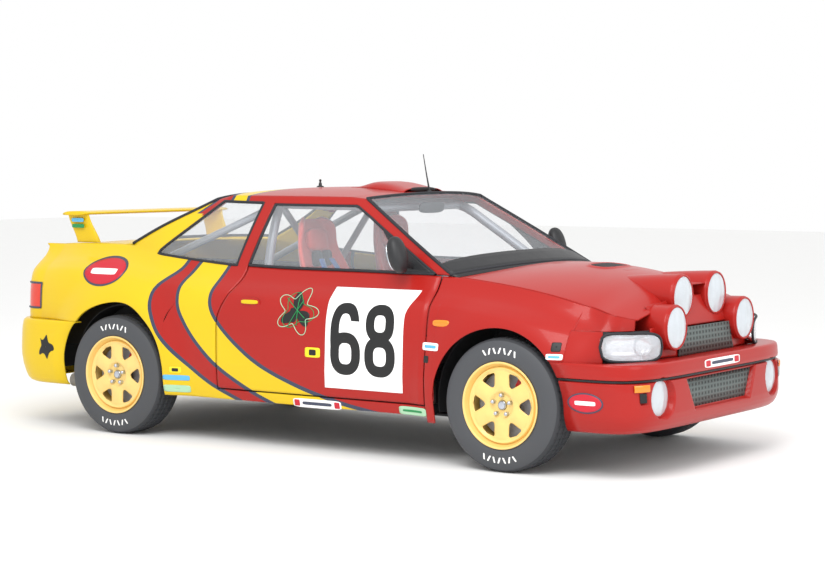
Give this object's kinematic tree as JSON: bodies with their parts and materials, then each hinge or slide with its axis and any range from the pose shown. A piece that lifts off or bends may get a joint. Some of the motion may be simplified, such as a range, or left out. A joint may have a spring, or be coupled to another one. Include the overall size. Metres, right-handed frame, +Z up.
{
  "type": "rally car",
  "caption": "Two-door rally car with opening doors, bonnet and boot lid, steered and rolling wheels, a roll cage, extra lamps on the bonnet and a rear wing.",
  "frame": {"origin": "on the ground under the middle of the bounding box", "axes": "+X to the nose, +Y to the left side of the car, +Z up"},
  "size_m": [4.19, 1.7678, 2.0411],
  "materials": {
    "tyre_rubber": "moulded, matt",
    "gold_wheel_paint": "gold wheel paint",
    "window_glass": "clear laminated glass",
    "lamp_glass": "clear ribbed lens",
    "red_lens": "moulded acrylic lens",
    "yellow_paint": "gloss enamel",
    "red_paint": "gloss enamel",
    "underbody_paint": "matt black",
    "cast_metal": "as cast",
    "cage_paint": "silver-grey enamel",
    "exhaust_steel": "stainless steel",
    "seat_cloth": "flame-proof cloth",
    "grille_mesh": "mesh grille",
    "black_plastic": "moulded, textured"
  },
  "bodies": {
    "body": {"floor_pan": "underbody_paint", "front_frame": "underbody_paint", "rear_frame": "underbody_paint", "body_side_left": "yellow_paint", "body_side_right": "yellow_paint", "front_wing_left": "red_paint", "front_wing_right": "red_paint", "front_bumper": "red_paint", "rear_bumper": "yellow_paint", "roof": "red_paint", "roof_scoop": "red_paint", "cowl_panel": "black_plastic", "windscreen": "window_glass", "rear_window": "window_glass", "quarter_windows": "window_glass", "front_lamps": "lamp_glass", "tail_lamps": "red_lens", "grilles": "grille_mesh", "seats": "seat_cloth", "roll_cage": "cage_paint", "dashboard": "black_plastic", "engine_block": "cast_metal", "exhaust": "exhaust_steel", "aerials": "black_plastic", "front_suspension": "underbody_paint", "rear_axle": "underbody_paint"},
    "bonnet": {"bonnet": "red_paint", "lamp_pods": "red_paint"},
    "boot_lid": {"boot_lid": "yellow_paint", "rear_wing": "yellow_paint"},
    "door_left": {"door_left": "red_paint", "door_glass_left": "window_glass"},
    "door_right": {"door_right": "red_paint", "door_glass_right": "window_glass"},
    "steering_wheel": {"steering_wheel": "black_plastic"},
    "knuckle_left": {"knuckle_left": "cast_metal"},
    "knuckle_right": {"knuckle_right": "cast_metal"},
    "wheel_front_left": {"rim_front_left": "gold_wheel_paint", "tyre_front_left": "tyre_rubber"},
    "wheel_front_right": {"rim_front_right": "gold_wheel_paint", "tyre_front_right": "tyre_rubber"},
    "wheel_rear_left": {"rim_rear_left": "gold_wheel_paint", "tyre_rear_left": "tyre_rubber"},
    "wheel_rear_right": {"rim_rear_right": "gold_wheel_paint", "tyre_rear_right": "tyre_rubber"}
  },
  "joints": [
    {"name": "bonnet_hinge", "type": "hinge", "parent": "body", "child": "bonnet", "pos_m": [0.9665, 0, 0.936], "axis": [0, -1, 0], "range_deg": [0, 50]},
    {"name": "boot_hinge", "type": "hinge", "parent": "body", "child": "boot_lid", "pos_m": [-1.4085, 0, 1.054], "axis": [0, 1, 0], "range_deg": [0, 50]},
    {"name": "door_left_hinge", "type": "hinge", "parent": "body", "child": "door_left", "pos_m": [0.81, 0.826, 0.5], "axis": [0, 0, -1], "range_deg": [0, 62]},
    {"name": "door_right_hinge", "type": "hinge", "parent": "body", "child": "door_right", "pos_m": [0.81, -0.826, 0.5], "axis": [0, 0, 1], "range_deg": [0, 62]},
    {"name": "steer_left", "type": "hinge", "parent": "body", "child": "knuckle_left", "pos_m": [1.325, 0.65, 0.33], "axis": [0, 0, 1], "range_deg": [-30, 30]},
    {"name": "steer_right", "type": "hinge", "parent": "body", "child": "knuckle_right", "pos_m": [1.325, -0.65, 0.33], "axis": [0, 0, 1], "range_deg": [-30, 30]},
    {"name": "steering_wheel_turn", "type": "hinge", "parent": "body", "child": "steering_wheel", "pos_m": [0.51, 0.35, 0.85], "axis": [-0.9135, 0, 0.4067], "range_deg": [-360, 360]},
    {"name": "roll_front_left", "type": "hinge", "parent": "knuckle_left", "child": "wheel_front_left", "pos_m": [1.325, 0.778, 0.33], "axis": [0, 1, 0], "continuous": true},
    {"name": "roll_front_right", "type": "hinge", "parent": "knuckle_right", "child": "wheel_front_right", "pos_m": [1.325, -0.778, 0.33], "axis": [0, 1, 0], "continuous": true},
    {"name": "roll_rear_left", "type": "hinge", "parent": "body", "child": "wheel_rear_left", "pos_m": [-1.195, 0.778, 0.33], "axis": [0, 1, 0], "continuous": true},
    {"name": "roll_rear_right", "type": "hinge", "parent": "body", "child": "wheel_rear_right", "pos_m": [-1.195, -0.778, 0.33], "axis": [0, 1, 0], "continuous": true}
  ],
  "couplings": [
    {"joint": "steer_right", "follows": "steer_left", "ratio": 1},
    {"joint": "steering_wheel_turn", "follows": "steer_left", "ratio": 12}
  ]
}
